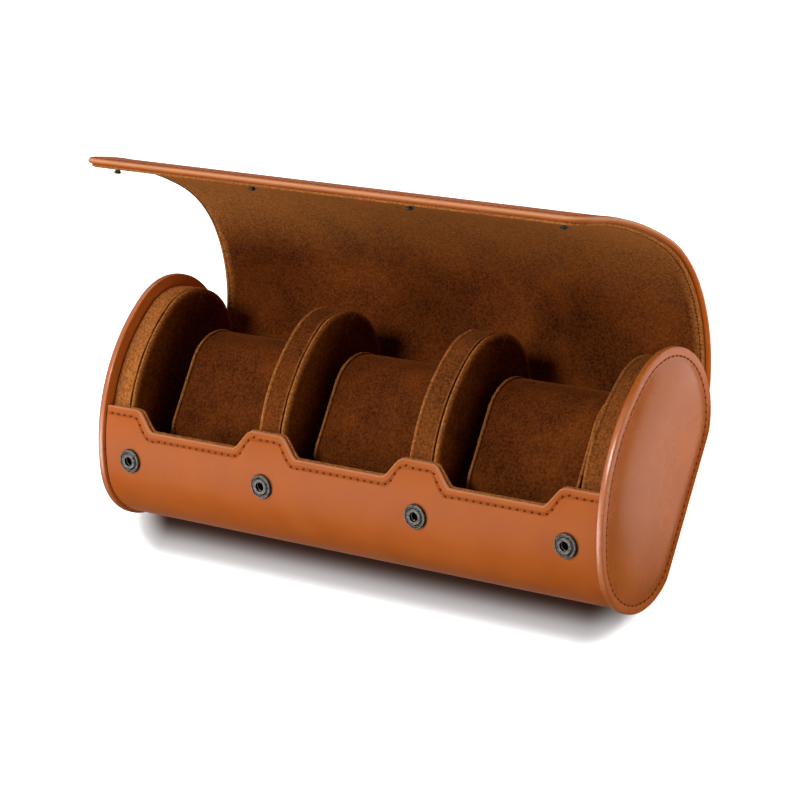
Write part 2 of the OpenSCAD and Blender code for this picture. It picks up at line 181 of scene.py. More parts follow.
def mesh_object(name, points, faces, values=None):
    """A closed, smooth mesh object, from points in millimetres, with named values per point."""
    mesh = bpy.data.meshes.new(name)
    mesh.from_pydata([tuple(float(c) * MM for c in p) for p in points], [], faces)
    for key, numbers in (values or {}).items():
        numbers = np.resize(np.asarray(numbers, np.float32), len(points))
        mesh.attributes.new(key, "FLOAT", "POINT").data.foreach_set("value", numbers)
    tidy = bmesh.new()
    tidy.from_mesh(mesh)
    bmesh.ops.remove_doubles(tidy, verts=tidy.verts, dist=1e-7)
    bmesh.ops.dissolve_degenerate(tidy, dist=1e-7, edges=tidy.edges)
    bmesh.ops.recalc_face_normals(tidy, faces=tidy.faces)
    tidy.to_mesh(mesh)
    tidy.free()
    smooth(mesh)
    return put(name, mesh)


def settle(made):
    """Turns an object's modifiers into plain mesh."""
    graph = bpy.context.evaluated_depsgraph_get()
    mesh = bpy.data.meshes.new_from_object(made.evaluated_get(graph), preserve_all_data_layers=True,
                                           depsgraph=graph)
    made.modifiers.clear()
    made.data = mesh
    return made


def dress(made, skin, body, stands_for=()):
    """Gives a piece its skin, and ties it to its body and to the solids that it stands for."""
    made.data.materials.append(skin)
    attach(made, body)
    if stands_for:
        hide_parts(*stands_for)


# %% Colours and nodes
def paint(code):
    """An sRGB hex colour as linear RGBA."""
    parts = [int(code[i:i + 2], 16) / 255 for i in (1, 3, 5)]
    return tuple(c / 12.92 if c <= 0.04045 else ((c + 0.055) / 1.055) ** 2.4 for c in parts) + (1.0,)


def add_node(tree, kind, settings=None, **inputs):
    """Adds a node, sets its settings, and sets or links its inputs. A shader node's kind is written without
    its ShaderNode. An input is named by its label, with _ for a space, or by its number after an i. A node
    given for an input is linked by its first output in use."""
    made = tree.nodes.new(kind if "Node" in kind else "ShaderNode" + kind)
    for key, value in (settings or {}).items():
        setattr(made, key, value)
    for key, value in inputs.items():
        numbered = key[0] == "i" and key[1:].isdigit()
        socket = made.inputs[int(key[1:]) if numbered else key.replace("_", " ")]
        if isinstance(value, bpy.types.Node):
            value = next(output for output in value.outputs if output.enabled)
        if isinstance(value, bpy.types.NodeSocket):
            tree.links.new(value, socket)
        else:
            socket.default_value = value
    return made


def new_material(name):
    """An empty material, and the function that adds a node to it."""
    made = bpy.data.materials.new(name)
    made.use_nodes = True
    made.node_tree.nodes.clear()
    return made, partial(add_node, made.node_tree)


# %% [markdown]
# ## Finished cowhide
#
# The outside is smooth, pigmented cowhide with a satin top coat: an even orange tan, a fine pore grain
# that only shows where light grazes it, and slow waves where the hide was stretched over board. The outer
# shoulder of each edge is painted pale, a painted highlight where the rounded edge catches the light. A
# row of stitches pulls a shallow groove, and the colour is darkened along it: painted shade. The top coat
# has a dry, waxy bloom at grazing angles, which the sheen gives. The grain of such leather is about 0.6 mm.
# Two values on the mesh steer it: "edge" is the distance from the nearest free edge, and "brow" says how
# strongly the painted highlight is laid on.

# %% Leather
PORE_MM = 0.6
WAVE_MM = 16.0
STITCH_IN = 3.0            # stitches lie this far inside a free edge


def leather_material(name, base, deep, rough, gloss):
    made, add = new_material(name)
    where = add("TexCoord").outputs["Object"]
    cloud = add("TexNoise", Vector=where, Scale=1 / (WAVE_MM * MM), Detail=4.0)
    tone = add("MapRange", Value=cloud, From_Min=0.35, From_Max=0.65)
    hide = add("Mix", {"data_type": "RGBA"}, i0=tone, i6=paint(deep), i7=paint(base))
    edge = add("Attribute", {"attribute_name": "edge"}).outputs["Fac"]
    brow = add("Attribute", {"attribute_name": "brow"}).outputs["Fac"]
    # The rounded edge is painted pale by "brow": a painted highlight.
    painted_edge_highlight = add("Math", {"operation": "MULTIPLY"}, i0=brow, i1=0.6)
    edge_highlighted = add("Mix", {"data_type": "RGBA"}, i0=painted_edge_highlight, i6=hide, i7=paint("#e6ad84"))
    # Darker along the stitch line, down to 0.82: painted shade in the groove that the thread pulls.
    off = add("Math", {"operation": "SUBTRACT"}, i0=edge, i1=STITCH_IN)
    away = add("Math", {"operation": "ABSOLUTE"}, i0=off)
    level = add("MapRange", {"interpolation_type": "SMOOTHSTEP"}, Value=away, From_Min=0.25, From_Max=1.1)
    wear_and_painted_light = add("MapRange", Value=level, To_Min=0.82, To_Max=1.0)
    colour = add("VectorMath", {"operation": "SCALE"}, i0=edge_highlighted, Scale=wear_and_painted_light)
    pores = add("TexVoronoi", {"feature": "SMOOTH_F1"}, Vector=where, Scale=1 / (PORE_MM * MM),
                Smoothness=0.6)
    grain = add("Bump", Height=pores, Strength=0.1, Distance=0.05 * MM)
    wave = add("Bump", Height=cloud, Strength=0.25, Distance=0.4 * MM, Normal=grain)
    pulled = add("Bump", Height=level, Strength=0.8, Distance=0.3 * MM, Normal=wave)
    satin = add("MapRange", Value=cloud, From_Min=0.3, From_Max=0.7, To_Min=rough - 0.04,
                To_Max=rough + 0.05)
    skin = add("BsdfPrincipled", Base_Color=colour, Roughness=satin, Normal=pulled,
               Specular_IOR_Level=gloss, Sheen_Weight=0.15, Sheen_Roughness=0.25,
               Sheen_Tint=paint("#ffe6d6"))
    add("OutputMaterial", Surface=skin)
    return made


LEATHER = leather_material("finished_cowhide", "#b65c1e", "#ae5518", 0.38, 0.09)
LEATHER_PAD = leather_material("finished_cowhide_stretched", "#ba6223", "#b25a1c", 0.27, 0.6)

# %% [markdown]
# ## Microsuede
#
# The lining is brown microsuede. Its nap is short fibre, about 0.4 mm, that lies in different directions,
# so it looks mottled, pale where it is brushed up and nearly black where it is pressed flat, and it has a
# soft glow at grazing angles, which is what the sheen on the shader gives. Seam ridges are painted paler,
# for wear and a painted highlight, and the lid's inside and the partitions' bands are painted paler as
# painted light where more light falls on them. Seam grooves and slits are painted near black, as
# painted shade.

# %% Suede
NAP_MM = 0.9               # drawn twice as coarse as it is, so that it shows
CLUMP_MM = 3.6
BRUSH_MM = 24.0


def suede_material(name, pale, base, deep):
    made, add = new_material(name)
    where = add("TexCoord").outputs["Object"]
    nap = add("TexNoise", Vector=where, Scale=1 / (NAP_MM * MM), Detail=3.0, Roughness=0.6)
    clump = add("TexNoise", Vector=where, Scale=1 / (CLUMP_MM * MM), Detail=5.0, Roughness=0.7)
    brush = add("TexNoise", Vector=where, Scale=1 / (BRUSH_MM * MM), Detail=3.0, Distortion=0.6)
    fine = add("MapRange", Value=nap, From_Min=0.36, From_Max=0.64)
    mottle = add("Math", {"operation": "MULTIPLY_ADD"}, i0=clump, i1=0.6, i2=-0.3)
    swept = add("Math", {"operation": "MULTIPLY_ADD"}, i0=brush, i1=1.2, i2=-0.6)
    both = add("Math", i0=mottle, i1=swept)
    tone = add("Math", {"operation": "MULTIPLY_ADD"}, i0=fine, i1=0.6, i2=0.2)
    toned = add("Math", {"use_clamp": True}, i0=tone, i1=both)
    body = add("Mix", {"data_type": "RGBA"}, i0=toned, i6=paint(deep), i7=paint(base))
    # "ridge" paints it pale: wear and a painted highlight on ridges, painted light on the lid and bands.
    ridge = add("Attribute", {"attribute_name": "ridge"}).outputs["Fac"]
    patchy = add("MapRange", Value=fine, To_Min=0.35, To_Max=1.0)
    wear_and_painted_light = add("Math", {"operation": "MULTIPLY", "use_clamp": True}, i0=ridge, i1=patchy)
    pale_wear_and_light = add("Mix", {"data_type": "RGBA"}, i0=wear_and_painted_light, i6=body, i7=paint(pale))
    # "seam" paints seam grooves and slits near black: painted shade.
    seam = add("Attribute", {"attribute_name": "seam"}).outputs["Fac"]
    colour = add("Mix", {"data_type": "RGBA"}, i0=seam, i6=pale_wear_and_light, i7=paint("#221005"))
    fibre = add("Bump", Height=nap, Strength=0.7, Distance=0.25 * MM)
    lumps = add("Bump", Height=clump, Strength=0.35, Distance=0.5 * MM, Normal=fibre)
    cloth = add("BsdfPrincipled", Base_Color=colour, Roughness=0.95, Normal=lumps, Specular_IOR_Level=0.06,
                Sheen_Weight=0.22, Sheen_Roughness=0.4, Sheen_Tint=paint("#e08a45"))
    add("OutputMaterial", Surface=cloth)
    return made


SUEDE = suede_material("brown_microsuede", "#c67c3e", "#7c3e12", "#3e1a07")

# %% [markdown]
# ## Metal, thread, foam and board
#
# The snaps are brass, plated and blackened to an antique gunmetal: a dark metal with cloudy patches where
# the black is rubbed. The thread is waxed polyester a shade deeper than the leather, and each needle hole
# is a small sunk shape painted dark brown, as painted shade in the hole. Foam and board are inside and only
# show where a solid of the frame is bared.

# %% Metal, thread, foam and board
def plain_material(name, base, deep, scale_mm, rough, metal=0.0, bump=0.3, depth_mm=0.1, gloss=0.5):
    """A material of two tones in a cloudy noise, which also lifts the surface a little."""
    made, add = new_material(name)
    where = add("TexCoord").outputs["Object"]
    noise = add("TexNoise", Vector=where, Scale=1 / (scale_mm * MM), Detail=5.0, Roughness=0.6)
    tone = add("MapRange", Value=noise, From_Min=0.35, From_Max=0.65)
    colour = add("Mix", {"data_type": "RGBA"}, i0=tone, i6=paint(deep), i7=paint(base))
    lift = add("Bump", Height=noise, Strength=bump, Distance=depth_mm * MM)
    satin = add("MapRange", Value=noise, From_Min=0.3, From_Max=0.7, To_Min=max(0.05, rough - 0.08),
                To_Max=min(1.0, rough + 0.08))
    body = add("BsdfPrincipled", Base_Color=colour, Roughness=satin, Normal=lift, Metallic=metal,
               Specular_IOR_Level=gloss)
    add("OutputMaterial", Surface=body)
    return made


GUNMETAL = plain_material("antique_gunmetal_plate", "#57534f", "#1f1c1a", 0.9, 0.4, metal=1.0)
SPRING = plain_material("spring_wire", "#7d7a75", "#575450", 0.6, 0.3, metal=1.0)
THREAD = plain_material("waxed_thread", "#ac5520", "#96491b", 0.35, 0.7, gloss=0.1)
# The needle pits are painted dark brown: painted shade in the holes.
PIT = plain_material("needle_pit", "#7a3612", "#5a240b", 0.3, 0.9, gloss=0.05)
FOAM = plain_material("dense_foam", "#d9cfae", "#c5b891", 0.8, 0.95)
BOARD = plain_material("grey_board", "#9a8f7e", "#847a6a", 0.7, 0.9)

FINISH = {"foam": FOAM, "core": FOAM, "board": BOARD, "interlining": BOARD, "suede": SUEDE, "lining": SUEDE,
          "sleeve": SUEDE, "ends": SUEDE, "leather": LEATHER, "facing": LEATHER, "binding": LEATHER,
          "sockets": GUNMETAL, "backs": GUNMETAL, "studs": GUNMETAL, "springs": SPRING}
for node_name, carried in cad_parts.items():
    carried.data.materials.clear()
    carried.data.materials.append(FINISH[node_name.split("_")[-1]])
print("materials:", len(bpy.data.materials))

# %% [markdown]
# ## The wrap
#
# The strip can be unrolled: a point of it is (x across, q along, e deep), and distances in x and q are true
# lengths on the leather. So an edge is rounded, and a stitch line is offset, on the flat pattern, as a
# leather worker would, and the result is bent to the section afterwards. The strip bends at three lines
# when the lid closes. It is cut where it never bends, between two such lines.

# %% A slab of the wrap
CUT_REAR = (HINGE_AT + FOLD_AT) / 2
CUT_FLAP = (FOLD_AT + BEND_AT) / 2
BROW = (0.5, 1.0, 0.8, 0.2, 0.0, 0.0)    # painted highlight, from an edge's outer shoulder to its inner one


def side_normals(X, Q, row, col, outward):
    """The normals of one side of the pattern, in its plane, pointing out of it."""
    dx, dq = np.gradient(X[row, col]), np.gradient(Q[row, col])
    size = np.hypot(dx, dq)
    n = np.stack([dq / size, -dx / size], 1)
    return n * np.sign((n @ np.array(outward)).sum())


def slab(name, X, Q, e0, e1, radius, free, values=None):
    """A sheet over the pattern (X, Q), from depth e0 to e1, with edges rounded on its free sides:
    start, end, left, right. The pattern is drawn one radius inside the finished edge. Each named value has a
    number for every point of the pattern, and "brow" says how strongly the rounded edge is painted pale,
    as a painted highlight."""
    rows, cols = X.shape
    place = np.arange(rows * cols).reshape(rows, cols)
    every = slice(None)
    sides = ((0, every, (0, -1)), (-1, every, (0, 1)), (every, 0, (-1, 0)), (every, -1, (1, 0)))
    push = np.zeros((rows, cols, 2))
    for (row, col, out), is_free in zip(sides, free):
        if not is_free:
            continue
        for flat, vector in zip(place[row, col], side_normals(X, Q, row, col, out)):
            at = divmod(int(flat), cols)
            push[at] = (push[at] + vector) / (1 + float(push[at] @ vector)) if push[at].any() else vector
    loop = list(place[0]) + list(place[1:, -1]) + list(place[-1, -2::-1]) + list(place[-2:0:-1, 0])
    flat_x, flat_q, flat_push = X.ravel(), Q.ravel(), push.reshape(-1, 2)
    points = [(x, *on_wrap(q, e0)) for x, q in zip(flat_x, flat_q)]
    points += [(x, *on_wrap(q, e1)) for x, q in zip(flat_x, flat_q)]
    under = rows * cols
    faces = []
    for i in range(rows - 1):
        for j in range(cols - 1):
            a, b, c, d = place[i, j], place[i, j + 1], place[i + 1, j + 1], place[i + 1, j]
            faces += [(a, b, c, d), (under + a, under + d, under + c, under + b)]
    quarter = [math.radians(t) for t in (30, 60, 90)]
    rim = [(radius * math.sin(t), e0 + radius * (1 - math.cos(t))) for t in quarter]
    rim += [(radius * math.sin(t), e1 - radius * (1 - math.cos(t))) for t in reversed(quarter)]
    last = loop
    for out, e in rim:
        first = len(points)
        points += [(flat_x[k] + flat_push[k][0] * out, *on_wrap(flat_q[k] + flat_push[k][1] * out, e))
                   for k in loop]
        ring = list(range(first, first + len(loop)))
        faces += [(last[k - 1], last[k], ring[k], ring[k - 1]) for k in range(len(loop))]
        last = ring
    ring = [under + k for k in loop]
    faces += [(last[k - 1], last[k], ring[k], ring[k - 1]) for k in range(len(loop))]
    spread_out = {key: np.concatenate([v.ravel(), v.ravel(), np.tile(v.ravel()[loop], len(rim))])
                  for key, v in (values or {}).items()}
    spread_out["brow"] = np.concatenate([np.zeros(2 * under), np.repeat(BROW, len(loop))])
    return mesh_object(name, points, faces, spread_out)


def spread(marks, step):
    """Numbers from the first mark to the last, through every mark, no further apart than step."""
    out = [marks[0]]
    for a, b in zip(marks, marks[1:]):
        n = max(1, math.ceil((b - a) / step))
        out += [a + (b - a) * (k + 1) / n for k in range(n)]
    return np.array(out)


def notch(x, grow=0.0, soft=1.2):
    """How far the front edge is cut back at x, with corners eased over `soft` millimetres."""
    def sharp(v):
        depth = 0.0
        for middle in (-BAY_PITCH, 0, BAY_PITCH):
            away = abs(v - middle)
            slope = NOTCH_DEPTH / ((NOTCH_TOP - NOTCH_BOTTOM) / 2)
            lean = math.hypot(1, slope)
            depth = max(depth, min(NOTCH_DEPTH, (NOTCH_TOP / 2 - away) * slope + grow * (lean - 1)))
        return depth + grow
    return sum(sharp(x + soft * k / 4) for k in range(-4, 5)) / 9


SUPPORT = 0.3              # a first row this close to each edge keeps the face flat up to the rounding
FINE_ROWS = 16             # the rows are close together this far from the notched edge
FADE = 45                  # and follow the notches less and less over this length


def front_pattern(inset, side, rounding):
    """The front part's pattern: from the notched edge down, under the base and into the rear of the lid,
    and the distance of each of its points from that edge."""
    margin = inset + rounding
    marks = sorted([middle + s * w for middle in (-BAY_PITCH, 0, BAY_PITCH) for s in (-1, 1)
                    for w in (NOTCH_BOTTOM / 2, NOTCH_TOP / 2)])
    half = BODY_LEN / 2 - side - rounding
    xs = spread([-half, SUPPORT - half] + marks + [half - SUPPORT, half], 1.6)
    lines = np.concatenate([spread([Q_FRONT, Q_FRONT + SUPPORT, Q_FRONT + FINE_ROWS], 1.0),
                            spread([Q_FRONT + FINE_ROWS, -BASE_LEN], 2.5)[1:],
                            spread([-BASE_LEN, 0], 6)[1:], spread([0, CUT_REAR], 1.5)[1:]])
    cut = np.array([notch(x, margin) for x in xs])
    fade = np.clip(1 - (lines - Q_FRONT) / FADE, 0, 1)[:, None]
    Q = lines[:, None] + cut[None, :] * fade * fade * (3 - 2 * fade)
    narrow = np.clip(lines / HINGE_AT, 0, 1)[:, None] * LID_PLAY / half
    X = np.broadcast_to(xs[None, :], Q.shape) * (1 - narrow)
    lean = np.gradient(cut, xs)[None, :] * fade
    return X, Q, (lines[:, None] - Q_FRONT + margin) / np.hypot(1, lean)


def lid_pattern(q0, q1, inset, side, rounding, rounded):
    """A part of the lid's pattern. The last part ends at the free edge, in two rounded corners."""
    half = BODY_LEN / 2 - LID_PLAY - side - rounding
    lines = spread([q0, q1], 2.0)
    widths = np.full(len(lines), half)
    if rounded:
        r = LID_CORNER - inset - rounding
        q_end = q1 - inset - rounding
        angles = np.radians(np.arange(0, 91, 7.5))
        straight = spread([q0, q_end - r], 2.0)
        lines = np.concatenate([straight, q_end - r + r * np.sin(angles[1:])])
        widths = np.concatenate([np.full(len(straight), half), half - r + r * np.cos(angles[1:])])
    xs = spread([-1, SUPPORT / half - 1, 1 - SUPPORT / half, 1], 4.0 / half)
    X, Q = widths[:, None] * xs[None, :], np.broadcast_to(lines[:, None], (len(lines), len(xs))).copy()
    if not rounded:
        return X, Q, half + rounding - np.abs(X)
    return X, Q, rounding + r - np.hypot(np.maximum(np.abs(X) - half + r, 0), np.maximum(Q - q_end + r, 0))


# %% The wrap's leather and lining
LEATHER_DEEP = 2.2         # leather with the board that it is folded over
LINING_SIDE = 1.7          # the lining stops short of the leather's edge
LINING_END = 1.0
LINING_FRONT = -0.5        # but its raised nap stands proud of the notched edge
PALE_EDGE_WIDTH = 2.4               # painted pale this far inside the edge: wear and a painted highlight
# The lid's inside is painted paler where more light falls: most at the upper left, and a little at the right.
TOP_ROWS, LEFT_PART = (52, 92), (10, -95)      # painted light here, along the lid and across
LOW_ROWS, RIGHT_PART = (40, 65), (60, 108)
# Which sides of each part are free edges: start, end, left, right.
FREE = {"front": (True, False, True, True), "rear": (False, False, True, True),
        "flap": (False, True, True, True)}


def eased(value, low, high):
    """0 below low, 1 above high and smooth between them, whichever way round they are."""
    t = np.clip((value - low) / (high - low), 0, 1)
    return t * t * (3 - 2 * t)


def painted_light_and_edge_wear(X, Q, edge):
    """How pale the lining is painted: at its edges, for wear and a painted highlight, and along the lid,
    most at the left, as painted light where more light falls.
    """
    top = eased(Q, *TOP_ROWS) * (0.45 + 0.5 * eased(X, *LEFT_PART))
    low = 0.12 * eased(X, *RIGHT_PART) * eased(Q, *LOW_ROWS)
    return np.maximum(top + low, 0.85 * eased(edge, PALE_EDGE_WIDTH, PALE_EDGE_WIDTH / 3))


wrap = {}
for layer, e0, e1, side, end, front_end, rounding, skin in (
        ("leather", 0.0, LEATHER_DEEP, 0.0, 0.0, 0.0, 1.0, LEATHER),
        ("lining", LEATHER_DEEP, WALL, LINING_SIDE, LINING_END, LINING_FRONT, 0.5, SUEDE)):
    patterns = {"front": front_pattern(front_end, side, rounding),
                "rear": lid_pattern(CUT_REAR, CUT_FLAP, 0, side, rounding, False),
                "flap": lid_pattern(CUT_FLAP, LID_LEN + ROLLED, end, side, rounding, True)}
    for part, (X, Q, edge) in patterns.items():
        marks = {"edge": edge} if layer == "leather" else {"ridge": painted_light_and_edge_wear(X, Q, edge)}
        piece = slab("wrap_%s_%s" % (layer, part), X, Q, e0, e1, rounding, FREE[part], marks)
        piece.data.materials.append(skin)
        wrap[layer, part] = piece
        print(piece.name, len(piece.data.polygons), "faces")

# %% The sockets' holes
SNAP_S = TAB_REACH - 20.7  # where the sockets sit, along the section and across
SNAP_X = (-101.9, -36.1, 36.1, 101.9)
HOLE_D = 5.3
PUNCH = 8.0                # length of the punch that cuts the holes


def pierce(piece):
    """Cuts a hole for each socket's barrel."""
    punch = bpy.data.meshes.new("punch")
    holes = bmesh.new()
    angle = section(SNAP_S)[2]
    for x in SNAP_X:
        y, z = on_section(SNAP_S)
        place = Matrix.Translation((x * MM, y * MM, z * MM)) @ Matrix.Rotation(angle - math.pi / 2, 4, "X")
        radius = HOLE_D / 2 * MM
        bmesh.ops.create_cone(holes, cap_ends=True, segments=32, radius1=radius, radius2=radius,
                              depth=PUNCH * MM, matrix=place)
    holes.to_mesh(punch)
    holes.free()
    tool = put("punch", punch)
    cut = piece.modifiers.new("holes", "BOOLEAN")
    cut.operation, cut.solver, cut.object = "DIFFERENCE", "EXACT", tool
    settle(piece)
    bpy.data.objects.remove(tool)
    smooth(piece.data)


pierce(wrap["leather", "front"])

# %% What the wrap's parts stand for
# The solids of the frame that each wrap part stands for.
STANDS_FOR = {
    ("leather", "front"): ("shell_leather", "shell_board", "lid_back_leather", "lid_back_interlining"),
    ("leather", "rear"): ("lid_leather", "lid_board"),
    ("leather", "flap"): ("flap_leather", "flap_board"),
    ("lining", "front"): ("shell_lining", "lid_back_lining"),
    ("lining", "rear"): ("lid_lining",),
    ("lining", "flap"): ("flap_lining",)}


def bend(piece):
    """Bakes a piece's placement into its mesh."""
    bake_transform(piece)


for (layer, part), piece in wrap.items():
    bend(piece)
    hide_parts(*STANDS_FOR[layer, part])

# %% [markdown]
# ## Rings round the section
#
# The end caps, the partitions and the cushions are all made the same way: a closed outline, drawn again and
# again further in or out and further along x, and skinned. The last rings close on a line between the two
# corner centres, the spine of the section.

# %% Rings
def ring_stations(step):
    """Places round the section, no further apart than step, with one where each arc ends."""
    return spread([0, FRONT_ARC, FRONT_ARC + CROWN_ARC, GIRTH], step)


def ring(out, stations, floor=0.0, base_points=14):
    """The section `out` outside its skin, cut off flat at floor, with points along its base."""
    pts = [on_section(s, out) for s in stations]
    low = max(floor, -out if out < 0 else 0.0)
    last, first = pts[-1], pts[0]
    base = [last + (first - last) * (k + 1) / (base_points + 1) for k in range(base_points)]
    return np.array([(p[0], max(p[1], low)) for p in pts + base])


def to_spine(points, share):
    """Points drawn towards the spine by a share of their distance."""
    axis = REAR_C - FRONT_C
    t = np.clip((points - FRONT_C) @ axis / (axis @ axis), 0, 1)
    return points + (FRONT_C + t[:, None] * axis - points) * share


def skin_rings(name, rings, values=None):
    """A closed mesh over rings of (x, y, z) points. The first and the last ring close on themselves."""
    n = len(rings[0])
    points = [p for r in rings for p in r]
    faces = []
    for k in range(len(rings) - 1):
        for i in range(n):
            j = (i + 1) % n
            faces.append((k * n + i, (k + 1) * n + i, (k + 1) * n + j, k * n + j))
    faces.append(tuple(range(n)))
    faces.append(tuple(range(len(points) - 1, len(points) - n - 1, -1)))
    return mesh_object(name, points, faces, values)


def lay_ring(points, x):
    return [(x, p[0], p[1]) for p in points]


# %% [markdown]
# ## The end caps
#
# Each cap is a board covered with leather: a rounded edge band, a flat border with a row of stitches, and
# inside the stitches a pad of foam that lifts the leather into a low crown. The crown rises quickly and
# then levels off, so its profile is a power curve. The border dips where the thread pulls it down.

# %% End caps
CAP_T = 2.7                # edge band
CAP_PROUD = 1.2
CAP_EDGE = 0.55            # radius of its edge
CAP_STITCH = 2.1           # the stitches lie this far inside the section
PAD_IN = 2.7               # and the pad begins this far inside it
CROWN_H = 4.0
CROWN_REACH = 18.4
CROWN_POWER = 2.6
cap_stations = ring_stations(2.2)


def cap_profile():
    """(out, x, share to the spine) from the cap's inner face, round its edge and up to the crown."""
    line = [(-12.0, 0.0, 0.0), (CAP_PROUD - CAP_EDGE, 0.0, 0.0)]
    for base, way, turns in ((0.0, 1, (30, 60, 90)), (CAP_T, -1, (90, 60, 30, 0))):
        for a in np.radians(turns):
            line.append((CAP_PROUD - CAP_EDGE + CAP_EDGE * math.sin(a),
                         base + way * CAP_EDGE * (1 - math.cos(a)), 0.0))
    line += [(-0.6, CAP_T + 0.02, 0.0), (-1.5, CAP_T - 0.08, 0.0), (-CAP_STITCH, CAP_T - 0.3, 0.0),
             (-PAD_IN + 0.1, CAP_T - 0.25, 0.0)]
    for k in (0.02, 0.05, 0.1, 0.16, 0.24, 0.34, 0.46, 0.6, 0.75, 0.9):
        line.append((-PAD_IN - k * CROWN_REACH, CAP_T - 0.2 + CROWN_H * (1 - (1 - k) ** CROWN_POWER), 0.0))
    for share in (0.3, 0.6, 0.85, 1.0):
        line.append((-PAD_IN - 0.9 * CROWN_REACH, CAP_T - 0.2 + CROWN_H + 0.25 * share, share))
    return line


for side_name, sign in SIDES:
    rings = []
    for out, x, share in cap_profile():
        points = ring(out, cap_stations)
        rings.append(lay_ring(to_spine(points, share) if share else points, sign * (BODY_LEN / 2 + x)))
    cap = skin_rings(side_name + "_end_cap", rings)
    dress(cap, LEATHER_PAD, "case",
          [side_name + "_end_" + k for k in ("facing", "board", "binding", "foam", "leather")])
    print(cap.name, len(cap.data.polygons), "faces")

# %% A tube of sewn cloth
def tube(path, radius, closed, side, sides=8, ripple=0.0, seed=1):
    """(points, faces) of a tube round a path of (x, y, z) points. The path never runs along `side`."""
    rng = np.random.default_rng(seed)
    path = np.array(path, float)
    ahead = np.roll(path, -1, 0) - np.roll(path, 1, 0) if closed else np.gradient(path, axis=0)
    ahead /= np.linalg.norm(ahead, axis=1)[:, None]
    points, faces, n = [], [], len(path)
    for p, t in zip(path, ahead):
        up = np.cross(t, side)
        up /= np.linalg.norm(up)
        r = radius * (1 + ripple * rng.uniform(-1, 1))
        for m in range(sides):
            a = 2 * math.pi * m / sides
            points.append(p + r * (math.cos(a) * np.cross(up, t) + math.sin(a) * up))
    for k in range(n if closed else n - 1):
        for m in range(sides):
            j, o = (k + 1) % n, (m + 1) % sides
            faces.append((k * sides + m, k * sides + o, j * sides + o, j * sides + m))
    if not closed:
        faces += [tuple(range(sides)), tuple(range((n - 1) * sides, n * sides))]
    return points, faces


# %% [markdown]
# ## The partitions
#
# A partition is a slab of foam in a suede hood. The hood is sewn from two side panels and a band over the
# edge, so both edges of the band stand up as thin ridges, painted paler for wear and a painted highlight,
# and a second seam runs just inside one of them, in a groove painted dark as painted shade. The side
# panels swell a little between the seams. A ring is laid for each point of the band's profile, so the
# ridges are real geometry; a fine ripple makes them as uneven as sewn suede. Each band is also painted
# paler by a share of its own, as painted light, most on the left cheek.

# %% Partitions
INSET = 3.25
RIDGE_H = 0.35
CAP_FACE = BODY_LEN / 2
CHEEK_T, DIVIDER_T = 10.5, 12.0
CHEEK_CLEAR = 0.05         # between a cheek and its cap, and between the hoods and the lining
SWELL = 0.25               # how far a side panel swells
UNEVEN = 0.17              # and how far a pale ridge wanders
part_stations = ring_stations(1.3)


def band_profile(thick, left_wall, right_wall):
    """(x, height over the band, how pale, how dark) across the band. Pale is wear and a painted highlight;
    dark is painted shade in the seam grooves and where a side without a seam meets the cap.
    """
    edge = [(0.35, -6.0, 0.0, 0.0), (0.25, -2.2, 0.0, 0.0), (-0.1, -1.1, 0.4, 0.0), (-0.05, -0.2, 0.9, 0.0),
            (0.35, 0.35, 1.0, 0.0), (0.85, 0.3, 0.9, 0.0), (1.25, 0.0, 0.5, 0.0)]
    inner = [(1.5, -0.4, 0.0, 0.8), (1.75, -0.4, 0.0, 0.8), (2.05, 0.1, 0.6, 0.0), (2.5, 0.1, 0.4, 0.0),
             (3.0, -0.05, 0.1, 0.0)]
    plain = [(0.05, -2.0, 0.0, 0.3), (0.05, -0.5, 0.3, 0.2), (0.5, 0.05, 0.6, 0.0), (1.2, -0.1, 0.1, 0.0)]
    left = edge + [(1.6, -0.15, 0.1, 0.3), (2.0, -0.1, 0.0, 0.0)] if left_wall else plain
    right = edge + inner if right_wall else plain
    left = [(-x if left_wall and y < -2 else x, y, wear_and_painted_light, dark) for x, y, wear_and_painted_light, dark in left]
    right = [(thick - (-x if right_wall and y < -2 else x), y, wear_and_painted_light, dark) for x, y, wear_and_painted_light, dark in right]
    middle = [(thick * k, 0.05 + 0.15 * math.sin(math.pi * k), 0.0, 0.0) for k in (0.36, 0.46, 0.56, 0.66)]
    return left + middle + right[::-1]


